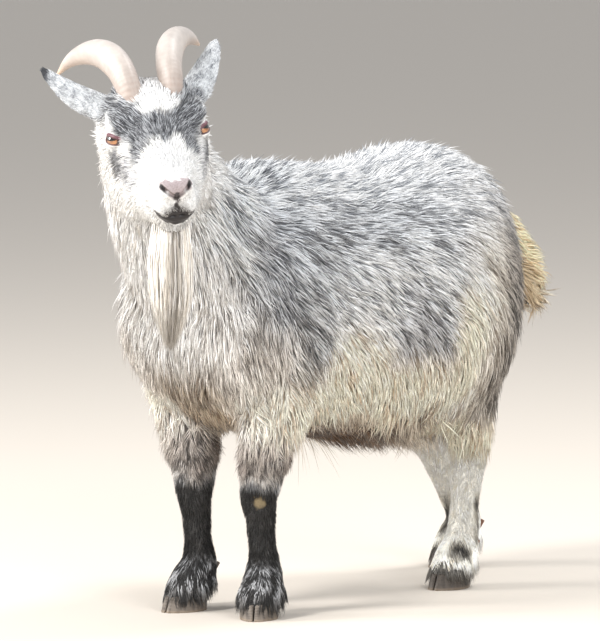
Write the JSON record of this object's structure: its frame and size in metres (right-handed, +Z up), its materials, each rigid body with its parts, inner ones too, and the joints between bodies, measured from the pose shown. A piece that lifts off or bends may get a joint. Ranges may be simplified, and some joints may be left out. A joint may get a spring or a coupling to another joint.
{
  "type": "pygmy goat model",
  "caption": "Life-size standing pygmy goat with swept-back horns, beard, upright ears and cloven hooves, its head turned to its left.",
  "frame": {"origin": "on the floor, under the middle of the model's bounding box", "axes": "-Y the way the goat's body faces, +Y towards its tail, +X the goat's left, +Z up; floor at z = 0"},
  "size_m": [0.3192, 0.7922, 0.6528],
  "materials": {
    "coat_grey": "short to medium hair, dark and pale hairs mixed",
    "coat_white": "short to medium white hair",
    "coat_cream": "cream to straw-coloured hair",
    "coat_black": "short black hair, frosted white at the pastern",
    "horn": "pale horn, satin, ringed near the base",
    "hoof": "dull grey-brown horn",
    "eye": "wet, amber with a dark level pupil"
  },
  "bodies": {
    "root": {"beard": "coat_cream", "cannon_front_left": "coat_black", "cannon_front_right": "coat_black", "cannon_hind_left": "coat_cream", "cannon_hind_right": "coat_cream", "claw_front_left_inner": "hoof", "claw_front_left_outer": "hoof", "claw_front_right_inner": "hoof", "claw_front_right_outer": "hoof", "claw_hind_left_inner": "hoof", "claw_hind_left_outer": "hoof", "claw_hind_right_inner": "hoof", "claw_hind_right_outer": "hoof", "dewclaw_front_left_inner": "hoof", "dewclaw_front_left_outer": "hoof", "dewclaw_front_right_inner": "hoof", "dewclaw_front_right_outer": "hoof", "dewclaw_hind_left_inner": "hoof", "dewclaw_hind_left_outer": "hoof", "dewclaw_hind_right_inner": "hoof", "dewclaw_hind_right_outer": "hoof", "ear_left": "coat_grey", "ear_right": "coat_grey", "eye_left": "eye", "eye_right": "eye", "foot_front_left": "coat_black", "foot_front_right": "coat_black", "foot_hind_left": "coat_cream", "foot_hind_right": "coat_cream", "forearm_front_left": "coat_grey", "forearm_front_right": "coat_grey", "gaskin_hind_left": "coat_cream", "gaskin_hind_right": "coat_cream", "head": "coat_white", "horn_left": "horn", "horn_right": "horn", "neck": "coat_white", "shoulder_front_left": "coat_grey", "shoulder_front_right": "coat_grey", "tail": "coat_cream", "thigh_hind_left": "coat_grey", "thigh_hind_right": "coat_grey", "trunk": "coat_grey"}
  },
  "joints": []
}
